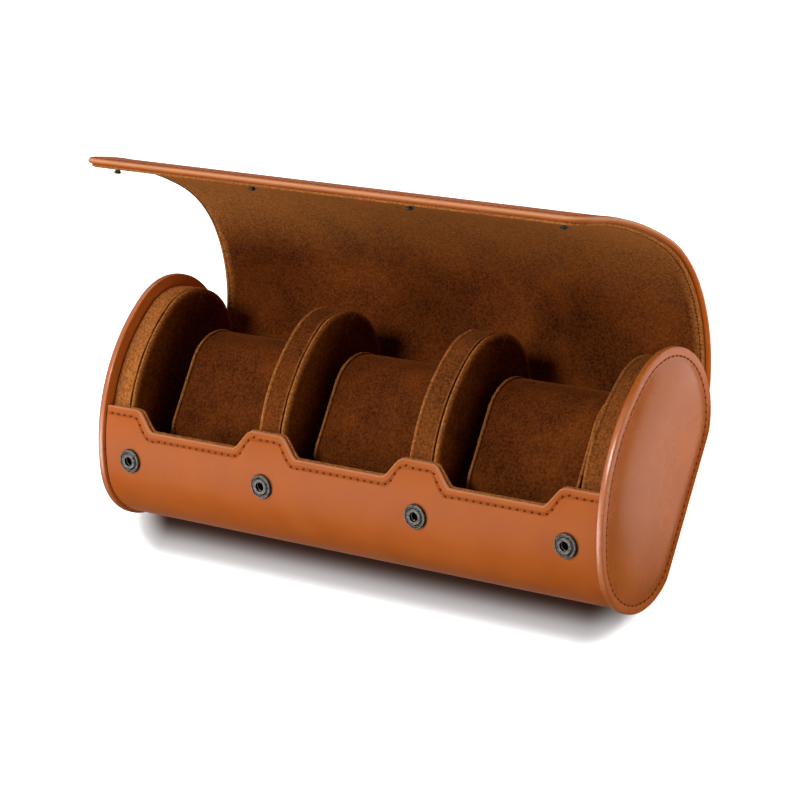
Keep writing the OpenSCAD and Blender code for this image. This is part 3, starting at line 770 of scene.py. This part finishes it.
def partition(name, x0, thick, left_wall, right_wall, nap):
    """One partition from x0, with a sewn edge on each side that faces a bay, and its band painted paler by
    a share, nap: painted light, for where more light falls on it."""
    rng = np.random.default_rng(len(name))
    rings, wear_and_light_all, dark_all = [], [], []
    line = band_profile(thick, left_wall, right_wall)
    n = len(ring(0, part_stations))
    coarse = np.arange(0, n + 4, 4)
    for k, (x, height, wear_and_painted_light, dark) in enumerate(line):
        points = ring(-INSET + height - RIDGE_H, part_stations, floor=WALL + CHEEK_CLEAR)
        ripple = rng.uniform(-1, 1, n) * 0.5 + np.interp(np.arange(n), coarse,
                                                         rng.uniform(-1, 1, len(coarse)))
        outward = points - points.mean(0)
        outward /= np.linalg.norm(outward, axis=1)[:, None]
        moved = points + outward * (UNEVEN * max(wear_and_painted_light, 0.6 * dark) * ripple)[:, None]
        moved[:, 1] = np.maximum(moved[:, 1], WALL + CHEEK_CLEAR)
        layers = [(moved, x)]
        if k == 0:
            layers = [(to_spine(moved, t), x - SWELL * t * left_wall) for t in (1.0, 0.7, 0.35)] + layers
        if k == len(line) - 1:
            layers += [(to_spine(moved, t), x + SWELL * t * right_wall) for t in (0.35, 0.7, 1.0)]
        for points, at in layers:
            rings.append(lay_ring(points, x0 + at))
            wear_and_light_all += [max(wear_and_painted_light, nap * (height > -0.3)) if points is moved else 0.0] * n
            dark_all += [dark if points is moved else 0.0] * n
    made = skin_rings(name, rings, {"ridge": wear_and_light_all, "seam": dark_all})
    dress(made, SUEDE, "case", [name + "_suede", name + "_core"])


# The last number paints each band paler: painted light, most on the left cheek.
partition("left_cheek", CHEEK_CLEAR - CAP_FACE, CHEEK_T - CHEEK_CLEAR, False, True, 0.9)
partition("right_cheek", CAP_FACE - CHEEK_T, CHEEK_T - CHEEK_CLEAR, True, False, 0.3)
for (side_name, sign), nap in zip(SIDES, (0.05, 0.18)):
    partition(side_name + "_divider", sign * BAY_PITCH / 2 - DIVIDER_T / 2, DIVIDER_T, True, True, nap)

# %% [markdown]
# ## The hoods' closing seams
#
# A hood is pulled over its foam and sewn shut by hand on each side panel, with a short seam that runs in
# from the rear edge. Two lips of suede stand up, painted paler for wear and a painted highlight, and a slit
# lies between them, painted near black as painted shade. Each is a thin tube.

# %% Closing seams
SLIT_Z = 34.0              # the slit's height, and where it runs: from the hood's rear edge inwards
SLIT_Y = (REAR_C[0] + math.sqrt((REAR_R - INSET - 0.8) ** 2 - (SLIT_Z - REAR_C[1]) ** 2), 30.5)
BOW = 0.25                 # how far it wanders
# Pale is wear and a painted highlight on the lips; dark is painted shade in the slit.
SEAM_TUBES = (             # height off the slit, radius, how far proud, how pale and how dark
    (0.75, 0.45, -0.15, 0.6, 0.0), (-0.75, 0.45, -0.15, 0.6, 0.0), (0.0, 0.36, -0.25, 0.0, 0.95))


def closing_seam(name, faces_at):
    """The seams on a partition's side panels. faces_at holds each panel's x and the way it faces."""
    points, faces, wear_and_painted_light, dark = [], [], [], []
    ys = np.linspace(*SLIT_Y, 26)
    for x, way in faces_at:
        for lift, radius, up_by, ridge, slit in SEAM_TUBES:
            bow = BOW * np.sin((ys - SLIT_Y[1]) * 0.4)
            path = [(x + way * (up_by + 0.1), y, SLIT_Z + lift + b) for y, b in zip(ys, bow)]
            seed = int(abs(x) * 10) + int(lift * 4) + 9
            some, around = tube(path, radius, False, (1, 0, 0), 6, 0.25, seed)
            first = len(points)
            points += some
            faces += [tuple(first + k for k in f) for f in around]
            wear_and_painted_light += [ridge] * len(some)
            dark += [slit] * len(some)
    dress(mesh_object(name, points, faces, {"ridge": wear_and_painted_light, "seam": dark}), SUEDE, "case")


closing_seam("left_cheek_seam", [(CHEEK_T - CAP_FACE, 1)])
closing_seam("right_cheek_seam", [(CAP_FACE - CHEEK_T, -1)])
for side_name, sign in SIDES:
    middle = sign * BAY_PITCH / 2
    closing_seam(side_name + "_divider_seam", [(middle - DIVIDER_T / 2, -1), (middle + DIVIDER_T / 2, 1)])

# %% [markdown]
# ## The cushions
#
# A cushion is a bolster: a suede sleeve over foam, closed by a flat disc at each end, with the seam turned
# out as a small rim. The stuffing is a cloth simulation with air pressure, run on a coarse copy: the shape
# starts a little small and swells, but not at its seams. All three are the same, so one is simulated and
# copied.

# %% Cushions
CUSHION_LEN, CUSHION_DEPTH, CUSHION_H = 48.0, 60.0, 36.0
CUSHION_FLAT = (CUSHION_DEPTH - CUSHION_H) / 2     # half the length of its section's flat top
low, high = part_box("middle_cushion_sleeve")
CUSHION_Y = (low.y + high.y) / 2 / MM
CUSHION_Z = (low.z + high.z) / 2 / MM


def bolster_outline(inset, n=72):
    """The cushion's section, a stadium, `inset` inside its full size."""
    r = CUSHION_H / 2 - inset
    pts = []
    for k in range(n):
        a = 2 * math.pi * (k + 0.5) / n
        middle = CUSHION_Y + (CUSHION_FLAT if math.cos(a) > 0 else -CUSHION_FLAT)
        pts.append((middle + r * math.cos(a), CUSHION_Z + r * math.sin(a)))
    return np.array(pts)


def bolster():
    """One cushion round x = 0."""
    half = CUSHION_LEN / 2
    rings = []
    across = np.clip(bolster_outline(0)[:, 0] - CUSHION_Y, -CUSHION_FLAT, CUSHION_FLAT)
    spine = np.array([(CUSHION_Y + y, CUSHION_Z) for y in across])
    # Distance inside the end, distance inside the full section, share to the spine.
    end = [(0.5, 1.0, 1.0), (0.5, 1.0, 0.6), (0.3, 1.0, 0.25), (0.6, 1.4, 0.0), (1.6, 0.9, 0.0)]
    profile = [(-half + d, inset, share) for d, inset, share in end]
    profile += [(x, 0.6, 0.0) for x in np.linspace(-half + 4, half - 4, 13)]
    profile += [(half - d, inset, share) for d, inset, share in reversed(end)]
    for x, inset, share in profile:
        points = bolster_outline(inset)
        rings.append(lay_ring(points + (spine - points) * share, x))
    return skin_rings("cushion_master", rings)


master = bolster()
print("cushion:", len(master.data.polygons), "faces")

VOXEL = 2.2                # size of the coarse copy's faces
PRESSURE = 4.0
FRAMES = 20
NEIGHBOURS = 12            # a point moves as this many of the copy's points do beside it
SWELL_CAP = 1.6            # but no further than this
SEAM_HOLD = (1.5, 7.0)     # and not at all this near to a seam, and fully only from here on


def stuff(made):
    """Swells a closed mesh: a remeshed copy is inflated with the Cloth modifier, and each point of the mesh
    then moves as the copy did beside it, but not at the seams."""
    inflated = put("inflated", made.data.copy())
    remesh = inflated.modifiers.new("remesh", "REMESH")
    remesh.mode = "VOXEL"
    remesh.voxel_size = VOXEL * MM
    settle(inflated)
    before = np.array([v.co for v in inflated.data.vertices])
    cloth = inflated.modifiers.new("cloth", "CLOTH")
    cloth.settings.use_pressure = True
    cloth.settings.uniform_pressure_force = PRESSURE
    cloth.settings.effector_weights.gravity = 0.0
    cloth.point_cache.frame_start, cloth.point_cache.frame_end = 1, FRAMES
    for number in range(1, FRAMES + 1):
        bpy.context.scene.frame_set(number)
    settle(inflated)
    bpy.context.scene.frame_set(1)
    move = np.array([v.co for v in inflated.data.vertices]) - before
    tree = KDTree(len(before))
    for index, place in enumerate(before):
        tree.insert(place, index)
    tree.balance()
    bpy.data.objects.remove(inflated)
    for vertex in made.data.vertices:
        near = [index for _, index, _ in tree.find_n(vertex.co, NEIGHBOURS)]
        x, y, z = vertex.co / MM
        inside = CUSHION_H / 2 - math.hypot(max(abs(y - CUSHION_Y) - CUSHION_FLAT, 0), z - CUSHION_Z)
        away = CUSHION_LEN / 2 - abs(x) + max(inside, 0)
        step = move[near].mean(0) * eased(away, *SEAM_HOLD)
        size = np.linalg.norm(step)
        vertex.co += Vector(step * min(1.0, SWELL_CAP * MM / max(size, 1e-9)))
    finer = made.modifiers.new("finer", "SUBSURF")
    finer.levels = finer.render_levels = 1
    print("swelling: up to %.2f mm" % (np.linalg.norm(move, axis=1).max() / MM))
    return settle(made)


stuff(master)
master.data.polygons.foreach_set("use_smooth", [True] * len(master.data.polygons))
master.data.materials.clear()

# %% The rims of the cushions and the three copies
RIM_R, RIM_IN, RIM_BACK = 0.75, 0.85, 0.8    # its radius, and how far it is inside the section and the end
for place_name, x in (("left", -BAY_PITCH), ("middle", 0.0), ("right", BAY_PITCH)):
    mesh = master.data.copy()
    mesh.transform(Matrix.Translation((x * MM, 0, 0)))
    body = place_name + "_cushion"
    dress(put(body + "_cover", mesh), SUEDE, body, [body + "_" + k for k in ("foam", "sleeve", "ends")])
    for end_name, sign in SIDES:
        path = lay_ring(bolster_outline(RIM_IN, 180), x + sign * (CUSHION_LEN / 2 - RIM_BACK))
        points, faces = tube(path, RIM_R, True, (1, 0, 0), ripple=0.15, seed=int(x) + 200)
        # The rim is painted pale: wear and a painted highlight.
        dress(mesh_object("%s_rim_%s" % (body, end_name), points, faces, {"ridge": [0.8] * len(points)}),
              SUEDE, body)
bpy.data.objects.remove(master)

# %% [markdown]
# ## Stitches
#
# A row of stitches is a small shape repeated along a path at an even pitch, which is what Geometry Nodes do
# best. The path carries an arrow, "up", that says which way the surface faces. The tree spaces points along
# the path, turns each to follow it, and puts a rounded bar there. The same tree makes the needle pits,
# half a pitch further on.

# %% The tree that repeats a bar along a path
def bar_tree():
    """A node group that lays a bar of one size and finish along a path at an even pitch."""
    tree = bpy.data.node_groups.new("bars_along_a_path", "GeometryNodeTree")
    face = tree.interface
    face.new_socket("Geometry", in_out="INPUT", socket_type="NodeSocketGeometry")
    for label in ("Pitch", "Bar Length", "Bar Width", "Bar Height", "Shift", "Sink", "Slant"):
        face.new_socket(label, in_out="INPUT", socket_type="NodeSocketFloat")
    face.new_socket("Finish", in_out="INPUT", socket_type="NodeSocketMaterial")
    face.new_socket("Geometry", in_out="OUTPUT", socket_type="NodeSocketGeometry")
    add = partial(add_node, tree)
    given = add("NodeGroupInput").outputs
    curve = add("GeometryNodeMeshToCurve", Mesh=given["Geometry"])
    even = add("GeometryNodeResampleCurve", {"mode": "LENGTH"}, Curve=curve, Length=given["Pitch"])
    up = add("GeometryNodeInputNamedAttribute", {"data_type": "FLOAT_VECTOR"}, Name="up")
    along = add("GeometryNodeInputTangent")
    turn_x = add("FunctionNodeAlignRotationToVector", {"axis": "X"}, Vector=along)
    turn = add("FunctionNodeAlignRotationToVector", {"axis": "Z", "pivot_axis": "X"}, Rotation=turn_x,
               Vector=up)
    yaw = add("FunctionNodeAxisAngleToRotation", Axis=(0, 0, 1), Angle=given["Slant"])
    slanted = add("FunctionNodeRotateRotation", {"rotation_space": "LOCAL"}, Rotation=turn, i1=yaw)
    ahead = add("VectorMath", {"operation": "SCALE"}, i0=along, Scale=given["Shift"])
    down = add("VectorMath", {"operation": "SCALE"}, i0=up, Scale=given["Sink"])
    moved = add("VectorMath", {"operation": "SUBTRACT"}, i0=ahead, i1=down)
    size = add("CombineXYZ", X=given["Bar Length"], Y=given["Bar Width"], Z=given["Bar Height"])
    ball = add("GeometryNodeMeshUVSphere", Segments=10, Rings=6, Radius=0.5)
    turned = add("GeometryNodeStoreNamedAttribute", {"data_type": "QUATERNION", "domain": "POINT"},
                 Geometry=even, Name="turn", Value=slanted)
    shifted = add("GeometryNodeStoreNamedAttribute", {"data_type": "FLOAT_VECTOR", "domain": "POINT"},
                  Geometry=turned, Name="move", Value=moved)
    points = add("GeometryNodeCurveToPoints", {"mode": "EVALUATED"}, Curve=shifted)
    kept_turn = add("GeometryNodeInputNamedAttribute", {"data_type": "QUATERNION"}, Name="turn")
    kept_move = add("GeometryNodeInputNamedAttribute", {"data_type": "FLOAT_VECTOR"}, Name="move")
    laid = add("GeometryNodeSetPosition", Geometry=points, Offset=kept_move)
    bars = add("GeometryNodeInstanceOnPoints", Points=laid, Instance=ball, Rotation=kept_turn, Scale=size)
    real = add("GeometryNodeRealizeInstances", Geometry=bars)
    done = add("GeometryNodeSetMaterial", Geometry=real, Material=given["Finish"])
    rounded = add("GeometryNodeSetShadeSmooth", Geometry=done)
    add("NodeGroupOutput", Geometry=rounded)
    return tree


BARS = bar_tree()


def bars(name, path, ups, closed, body, **inputs):
    """A row of bars along a path, as one plain mesh, which rides on a body where one is given."""
    mesh = bpy.data.meshes.new(name)
    n = len(path)
    edges = [(k, k + 1) for k in range(n - 1)] + ([(n - 1, 0)] if closed else [])
    mesh.from_pydata([tuple(float(c) * MM for c in p) for p in path], edges, [])
    up = mesh.attributes.new("up", "FLOAT_VECTOR", "POINT")
    up.data.foreach_set("vector", np.array(ups, np.float32).ravel())
    made = put(name, mesh)
    modifier = made.modifiers.new("bars", "NODES")
    modifier.node_group = BARS
    sockets = {s.name: s.identifier for s in BARS.interface.items_tree if s.in_out == "INPUT"}
    for label, value in inputs.items():
        modifier[sockets[label.replace("_", " ")]] = value
    settle(made)
    if body:
        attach(made, body)
    return made


THREAD_SIZE = (0.54, 0.55, 0.4)      # share of the pitch, width and height in millimetres
PIT_SIZE = (0.46, 1.0, 0.34)
SLANT = 0.16               # each stitch is turned off the path, in radians
SINK = 0.02                # and lies this far in the leather


def stitch_row(name, path, ups, closed, body, pitch, thread=THREAD):
    """Thread and needle pits along one path. A pit is a slot that the thread dives into, painted dark
    brown as painted shade in the hole.
    """
    return [bars("%s_%s" % (name, kind), path, ups, closed, body, Pitch=pitch * MM, Slant=SLANT,
                 Bar_Length=pitch * share * MM, Bar_Width=width * MM, Bar_Height=height * MM,
                 Shift=shift * pitch * MM, Sink=SINK * MM, Finish=finish)
            for kind, (share, width, height), shift, finish in (("thread", THREAD_SIZE, 0.0, thread),
                                                                ("pits", PIT_SIZE, 0.5, PIT))]


# %% The front panel's stitches
WRAP_PITCH = 3.15


def front_stitch_path(step=0.5):
    """The edge's pattern offset inwards by the stitch distance, with mitred corners."""
    half = BODY_LEN / 2
    flat = [(-half, 0.0)]
    for middle in (-BAY_PITCH, 0, BAY_PITCH):
        flat += [(middle - NOTCH_TOP / 2, 0.0), (middle - NOTCH_BOTTOM / 2, NOTCH_DEPTH),
                 (middle + NOTCH_BOTTOM / 2, NOTCH_DEPTH), (middle + NOTCH_TOP / 2, 0.0)]
    flat += [(half, 0.0)]
    flat = np.array(flat)
    way = np.diff(flat, axis=0)
    way /= np.linalg.norm(way, axis=1)[:, None]
    inward = np.stack([-way[:, 1], way[:, 0]], 1)
    corners = [flat[0] + inward[0] * STITCH_IN]
    for k in range(1, len(flat) - 1):
        a, b = inward[k - 1], inward[k]
        corners.append(flat[k] + (a + b) * STITCH_IN / (1 + a @ b))
    corners.append(flat[-1] + inward[-1] * STITCH_IN)
    corners[0][0] += 1.6
    corners[-1][0] -= 1.6
    out = []
    for a, b in zip(corners, corners[1:]):
        n = math.ceil(np.linalg.norm(b - a) / step)
        out += [a + (b - a) * k / n for k in range(n)]
    return out + [corners[-1]]


pattern = front_stitch_path()
path = [(x, *on_wrap(Q_FRONT + q, 0.0)) for x, q in pattern]
ups = []
for x, q in pattern:
    angle = section(-(Q_FRONT + q) - BASE_LEN)[2]
    ups.append((0, math.cos(angle), math.sin(angle)))
stitch_row("front_stitch", path, ups, False, "case", WRAP_PITCH)

# %% The lid's stitches
def lid_stitch_path(q0, inset, step=0.5):
    """Round the lid's free edge on the flat pattern, `inset` inside it: from q0 up one side, across, and down
    the other."""
    half, end = BODY_LEN / 2 - LID_PLAY - inset, LID_LEN + ROLLED - inset
    r = LID_CORNER - inset
    turn = np.radians(np.arange(0, 91, 5))
    up = [(half, q) for q in np.arange(q0, end - r, step)]
    corner = [(half - r + r * math.cos(t), end - r + r * math.sin(t)) for t in turn]
    across = [(x, end) for x in np.arange(half - r - step, 0, -step)]
    one = up + corner + across
    return one + [(-x, q) for x, q in reversed(one)]


def lid_rows(name, rows, e, thread):
    """Stitches on one face of a part of the lid, laid on the open lid's curve."""
    facing = -1 if e == 0 else 1
    for number, flat in enumerate(rows):
        path = [(x, *on_wrap(q, e)) for x, q in flat]
        normals = [lid_walk(q)[1] for x, q in flat]
        ups = [(0, -facing * math.sin(a), facing * math.cos(a)) for a in normals]
        for piece in stitch_row("%s_%d" % (name, number), path, ups, False, None, WRAP_PITCH, thread):
            bend(piece)


SEWN = plain_material("brown_thread_on_suede", "#54260b", "#381706", 0.35, 0.8, gloss=0.1)
beside = BODY_LEN / 2 - LID_PLAY - STITCH_IN
for face_name, e, thread in (("outside", 0.0, THREAD), ("inside", WALL, SEWN)):
    lid_rows("lid_stitch_flap_" + face_name, [lid_stitch_path(CUT_FLAP, STITCH_IN)], e, thread)
    sides = [[(way * beside, q) for q in np.arange(CUT_REAR, CUT_FLAP, 0.5)] for way in (-1, 1)]
    lid_rows("lid_stitch_rear_" + face_name, sides, e, thread)

# %% The caps' stitches
CAP_PITCH = 2.8
for side_name, sign in SIDES:
    outline = ring(-CAP_STITCH, ring_stations(0.8), base_points=50)
    path = lay_ring(outline, sign * (CAP_FACE + CAP_T - 0.22))
    stitch_row(side_name + "_cap_stitch", path, [(sign, 0, 0)] * len(path), True, "case", CAP_PITCH)

# %% [markdown]
# ## Floor, light and camera
#
# The case stands on a white table in a white room. The deepest shade, where the drum meets the table, is
# painted in the table's material, and the lamps' own shadows lie over it. Away from the case the table glows
# for camera rays, so that it melts into the background. One lamp hangs high above, one stands behind, one
# lights the front and the lid's inside from the left, and a low one lights the padded cap.

# %% The stage
AIR = 0.03                 # light from the room
TABLE, CONTACT = "#e4e4e4", "#4c342b"     # the table's white, and its shade where the drum meets it
GLOW = 0.95                # added away from the case
# The shade is painted round a block: the way from its middle to the origin, and half its size. These and
# all the places below are in metres. A pair says where something begins and where it is full.
FOOT_SHIFT, FOOT = (0.012, 0.006, 0.0), (0.100, 0.034, 0.0)
UNSHADED = (0.005, 0.022)  # distance from the block
GLOWING = (0.016, 0.026)
# On the right the glow reaches right up to the cap: painted light that covers the lamps' shadow there.
GLOWING_RIGHT = (0.104, 0.126)
FLOOR_BOUNCE = 0.12        # what the table beside the case throws back at it
OPEN_BOUNCE = 0.30         # what the open table in front throws back
OPEN = (-DEPTH / 2 * MM - 0.05, -DEPTH / 2 * MM - 0.16)
CARD = 0.9                 # and what a white card on the right throws back
CARD_GLOW = 0.4
CARD_LEFT, CARD_RIGHT, CARD_FRONT = (0.118, 0.126), (0.34, 0.22), (-0.05, 0.0)


def floor_material():
    made, add = new_material("white_table")

    def ramp(value, start, stop):
        return add("MapRange", {"interpolation_type": "SMOOTHSTEP"}, Value=value, From_Min=start,
                   From_Max=stop)

    def both(how, first, second):
        return add("Math", {"operation": how}, i0=first, i1=second)

    where = add("TexCoord").outputs["Object"]
    axes = add("SeparateXYZ", Vector=where)
    across, along = axes.outputs["X"], axes.outputs["Y"]

    # What is seen: the shade round the block that the case rests on, and the glow beyond it.
    moved = add("VectorMath", i0=where, i1=FOOT_SHIFT)
    folded = add("VectorMath", {"operation": "ABSOLUTE"}, i0=moved)
    past = add("VectorMath", {"operation": "SUBTRACT"}, i0=folded, i1=FOOT)
    past = add("VectorMath", {"operation": "MAXIMUM"}, i0=past, i1=(0, 0, 0))
    out = add("VectorMath", {"operation": "LENGTH"}, i0=past)
    tone = add("Mix", {"data_type": "RGBA"}, i0=ramp(out, *UNSHADED), i6=paint(CONTACT), i7=paint(TABLE))
    layer = add("BsdfDiffuse", Color=tone)
    white = both("MAXIMUM", ramp(out, *GLOWING), ramp(across, *GLOWING_RIGHT))
    glow = add("Emission", Color=(1, 1, 1, 1), Strength=both("MULTIPLY", white, GLOW))
    table = add("AddShader", i0=layer, i1=glow)

    # What the case is lit by: little beside it, more from the open table, and most beside the right cap.
    card = both("MULTIPLY", ramp(across, *CARD_LEFT), ramp(across, *CARD_RIGHT))
    card = both("MULTIPLY", card, ramp(along, *CARD_FRONT))
    level = add("MapRange", Value=ramp(along, *OPEN), To_Min=FLOOR_BOUNCE, To_Max=OPEN_BOUNCE)
    level = add("MapRange", Value=card, To_Min=level, To_Max=CARD)
    bounce = add("BsdfDiffuse", Color=level)
    shine = add("Emission", Color=(1, 1, 1, 1), Strength=both("MULTIPLY", card, CARD_GLOW))
    unseen = add("AddShader", i0=bounce, i1=shine)

    rays = add("LightPath").outputs
    direct = both("MAXIMUM", rays["Is Camera Ray"], rays["Is Transmission Ray"])
    pick = add("MixShader", Fac=direct, i1=unseen, i2=table)
    add("OutputMaterial", Surface=pick)
    return made


def white_room():
    """A world that is white to the camera and in gloss, and gives little light."""
    room = bpy.data.worlds.new("white_room")
    room.use_nodes = True
    room.node_tree.nodes.clear()
    add = partial(add_node, room.node_tree)
    rays = add("LightPath").outputs
    direct = add("Math", {"operation": "MAXIMUM"}, i0=rays["Is Camera Ray"], i1=rays["Is Transmission Ray"])
    mirrored = add("Math", {"operation": "MAXIMUM"}, i0=direct, i1=rays["Is Glossy Ray"])
    strength = add("MapRange", Value=mirrored, To_Min=AIR, To_Max=1.0)
    air = add("Background", Color=(1, 1, 1, 1), Strength=strength)
    add("OutputWorld", Surface=air)
    return room


bpy.ops.mesh.primitive_plane_add(size=8.0, location=(0, 0, 0))
floor = bpy.context.object
floor.name = "table"
floor.data.materials.append(floor_material())
bpy.context.scene.world = white_room()

LAMPS = (                  # name, place, size, watts, seen in gloss
    ("overhead", (-0.45, 0.02, 1.75), 0.5, 18.0, True),
    ("over_back", (-0.1, 0.9, 0.6), 0.6, 5.0, True),
    ("front_left", (-0.6, -0.6, 0.62), 0.5, 6.0, True),
    ("right_fill", (1.0, -0.12, 0.14), 0.35, 4.8, False),
)
LIT = Vector((0, 0.01, 0.04))    # the lamps face this point


def softbox(name, place, size, power, glossy):
    """A square area lamp at a place, facing the case, in metres and watts."""
    lamp = bpy.data.lights.new(name, "AREA")
    lamp.size = size
    lamp.energy = power
    made = put(name, lamp)
    made.location = place
    made.rotation_euler = (LIT - Vector(place)).to_track_quat("-Z", "Y").to_euler()
    made.visible_glossy = glossy


for lamp in LAMPS:
    softbox(*lamp)

# %% The camera
camera_data = bpy.data.cameras.new("camera")
camera_data.sensor_width = 36.0
camera_data.lens = 138.3
camera = put("camera", camera_data)
CAMERA_AT = Vector((0.67207, -0.19618, 0.96519))
RIGHT = Vector((0.80785, 0.28551, -0.51562))
UP = Vector((-0.13613, 0.94157, 0.30810))
BACK = Vector((0.57345, -0.17870, 0.79951))
turn = Matrix((RIGHT, UP, BACK)).transposed()
camera.matrix_world = Matrix.Translation(CAMERA_AT) @ turn.to_4x4()
bpy.context.scene.camera = camera
bpy.context.scene.view_settings.view_transform = "Standard"
